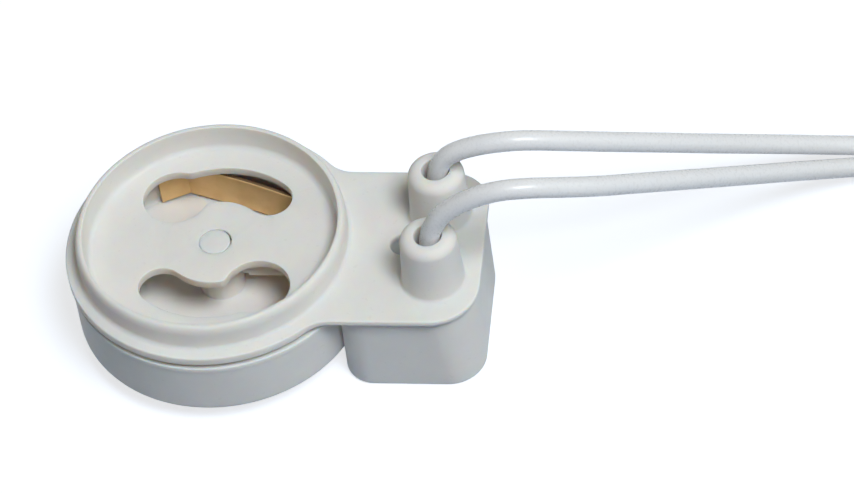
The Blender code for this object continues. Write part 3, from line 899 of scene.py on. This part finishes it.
def coil_point(degrees, side, centre):
    """A place in the coil by the angle travelled from -90 degrees, where the lead arrives."""
    inner = ease(degrees, 215.0, 260.0)
    climb = ease(degrees, 530.0, 575.0)
    outward = ease(degrees, 845.0, 890.0)
    radius = COIL_MID_R + TURN_PITCH / 2 - TURN_PITCH * (inner - outward)
    height = COIL_LOW + TURN_PITCH * climb
    leave = ease(degrees, 1015.0, 1095.0)
    if leave > 0.0:
        low_r = COIL_MID_R + TURN_PITCH / 2
        fall = LEAD_FLOOR - COIL_LOW
        reach = TAIL_R - low_r
        last = atan2(fall, reach)
        turn = pi / 2 + (last - pi / 2) * leave
        away = TURN_PITCH + (sqrt(reach ** 2 + fall ** 2) - TURN_PITCH) * leave
        radius = low_r + away * cos(turn)
        height = COIL_LOW + away * sin(turn)
    angle = side * radians(degrees)
    return centre + Vector((radius * cos(angle), radius * sin(angle), height))


def lead_points(side, arch, fall):
    """The lead's centreline from inside its boot to the end of its insulation."""
    entry = Vector((ENTRY_X, side * ENTRY_Y, 0.0))
    route = [entry + Vector((0.0, 0.0, PLATE_TOP)) + Vector(p) * MM for p in arch]
    route += [entry + Vector(p) * MM for p in fall]
    coil_r = COIL_MID_R + TURN_PITCH / 2
    centre = Vector((COIL_X, route[-1].y + COIL_EASE + side * coil_r, 0.0))
    arrival = Vector((COIL_X, route[-1].y + COIL_EASE, COIL_LOW))
    leaving = route[-1]
    for share in (0.35, 0.7):
        here = leaving.lerp(arrival, share)
        here.y += COIL_EASE * share * (1 - share)
        route.append(here)
    route += [coil_point(-90.0 + 15.0 * i, side, centre) for i in range(80)]
    tail_steps = 8
    last = side * (TAIL_ANGLE + TAIL / TAIL_R)
    first = side * TAIL_ANGLE
    for i in range(tail_steps + 1):
        angle = first + (last - first) * i / tail_steps
        route.append(centre + Vector((TAIL_R * cos(angle), TAIL_R * sin(angle), LEAD_FLOOR)))
    return route, centre


def wire(name, points, radius, paint):
    data = bpy.data.curves.new(name, "CURVE")
    data.dimensions = "3D"
    data.bevel_depth = radius
    data.bevel_resolution = 6
    data.use_fill_caps = True
    spline = data.splines.new("POLY")
    spline.points.add(len(points) - 1)
    for point, place in zip(spline.points, points):
        point.co = (*place, 1.0)
    spline.use_smooth = True
    data.materials.append(paint)
    obj = bpy.data.objects.new(name, data)
    bpy.context.scene.collection.objects.link(obj)
    obj.location = AXIS
    return obj


def build_tie(name, centre, side):
    """The flat band around the coil's turns."""
    thickness = 0.25 * MM
    half_width = 1.25 * MM
    inner = COIL_SIDE / 2 + 0.15 * MM
    corner = 0.9 * MM
    outer = inner + thickness
    outer_loop = rounded_rectangle(-outer, outer, outer, corner + thickness)
    inner_loop = rounded_rectangle(-inner, inner, inner, corner)
    shell = Shell()
    ring = [
        shell.loop(inner_loop, -half_width), shell.loop(outer_loop, -half_width),
        shell.loop(outer_loop, half_width), shell.loop(inner_loop, half_width),
    ]
    shell.wall(ring + [ring[0]])
    angle = side * radians(135.0)
    middle = COIL_LOW - LEAD_R - 0.075 * MM + COIL_SIDE / 2
    spot = centre + Vector((COIL_MID_R * cos(angle), COIL_MID_R * sin(angle), middle))
    turn = Matrix.Rotation(angle, 4, "Z") @ Matrix.Rotation(pi / 2, 4, "X")
    shell.mesh.transform(Matrix.Translation(spot) @ turn)
    return shell.finish(f"{name}_band", TIE_PAINT)


def build_lead(name, side, arch, fall):
    points, centre = lead_points(side, arch, fall)
    middle = catmull(points, LEAD_STEP)
    length = sum((b - a).length for a, b in zip(middle, middle[1:]))
    lead = wire(f"{name}_insulation", middle, LEAD_R, LEAD_PAINT)
    ride(lead, f"lead_{name}_insulation", f"lead_{name}", f"coil_{name}", f"tail_{name}")
    angle = TAIL_ANGLE + (TAIL + LEAD_END_GAP) / TAIL_R
    bare = []
    for i in range(13):
        here = side * (angle + STRIPPED / TAIL_R * i / 12)
        bare.append(centre + Vector((TAIL_R * cos(here), TAIL_R * sin(here), LEAD_FLOOR)))
    stripped = wire(f"{name}_stripped_end", bare, CORE_R, TIN_PAINT)
    ride(stripped, f"stripped_{name}_tinned", f"stripped_{name}")
    band = ride(build_tie(name, centre, side), f"tie_{name}_plastic", f"tie_{name}")
    below = 0.2 * MM
    ends = (CRIMP_MIDDLE - CRIMP_H / 2 - below, LEAD_START - LEAD_END_GAP)
    line = [Vector((ENTRY_X, side * ENTRY_Y, z)) for z in ends]
    core = wire(f"{name}_conductor", line, CORE_R, TIN_PAINT)
    ride(core, f"core_{name}_tinned", f"core_{name}")
    tuple(points[0] + AXIS)


# Floor and light
FLOOR_GLOW = 0.72
WORLD_LIGHT = 0.06
AIM = Vector((0.0, 0.0, 0.005))


def build_floor():
    """A white floor that keeps the object's soft shadow."""
    bpy.ops.mesh.primitive_plane_add(size=6.0, location=(0.0, 0.0, -0.02 * MM))
    floor = bpy.context.object
    floor.name = "floor"
    material = bpy.data.materials.new("white_floor")
    material.use_nodes = True
    nodes = Nodes(material.node_tree)
    diffuse = nodes.node("ShaderNodeBsdfDiffuse", None, {"Color": rgb(0.38, 0.43, 0.51)})
    seen = nodes.background_rays() * FLOOR_GLOW
    glow = nodes.node("ShaderNodeEmission", None, {"Strength": seen})
    both = nodes.node("ShaderNodeAddShader", None, {0: diffuse, 1: glow})
    output = nodes.tree.nodes["Material Output"]
    nodes.tree.links.new(both.socket, output.inputs["Surface"])
    nodes.tree.nodes.remove(nodes.tree.nodes["Principled BSDF"])
    floor.data.materials.append(material)


def area_light(name, place, size, power, color):
    data = bpy.data.lights.new(name, "AREA")
    data.shape = "DISK"
    data.size = size
    data.energy = power
    data.color = color
    lamp = bpy.data.objects.new(name, data)
    lamp.location = place
    lamp.rotation_euler = (AIM - Vector(place)).to_track_quat("-Z", "Y").to_euler()
    bpy.context.scene.collection.objects.link(lamp)


def set_light():
    world = bpy.data.worlds.new("studio")
    world.use_nodes = True
    bpy.context.scene.world = world
    nodes = Nodes(world.node_tree)
    soft = nodes.node("ShaderNodeBackground", None, {
        "Color": rgb(0.85, 0.93, 1.0), "Strength": WORLD_LIGHT,
    })
    white = nodes.node("ShaderNodeBackground", None, {
        "Color": rgb(1.0, 1.0, 1.0), "Strength": 1.0,
    })
    choose = nodes.node("ShaderNodeMixShader", None, {
        0: nodes.background_rays(), 1: soft, 2: white,
    })
    output = nodes.tree.nodes["World Output"]
    nodes.tree.links.new(choose.socket, output.inputs["Surface"])
    nodes.tree.nodes.remove(nodes.tree.nodes["Background"])
    out = 0.614
    up = 0.430
    area_light("key", (0.265, -0.265, 0.650), 0.30, 4.85, (0.925, 0.955, 0.995))
    area_light("back", (0.0, out, up), 0.45, 0.3, (1.0, 0.86, 0.72))
    area_light("left", (-out, 0.0, up), 0.45, 0.3, (0.9, 1.0, 0.8))
    area_light("right", (out, 0.0, up), 0.45, 0.5, (0.8, 1.0, 0.85))


build_lead("far", 1, FAR_ARCH, FAR_FALL)
build_lead("near", -1, NEAR_ARCH, NEAR_FALL)
build_cover()
build_housing()
build_contact("far", 1)
build_contact("near", -1)
build_floor()
set_light()

bpy.context.scene.view_settings.view_transform = "Standard"
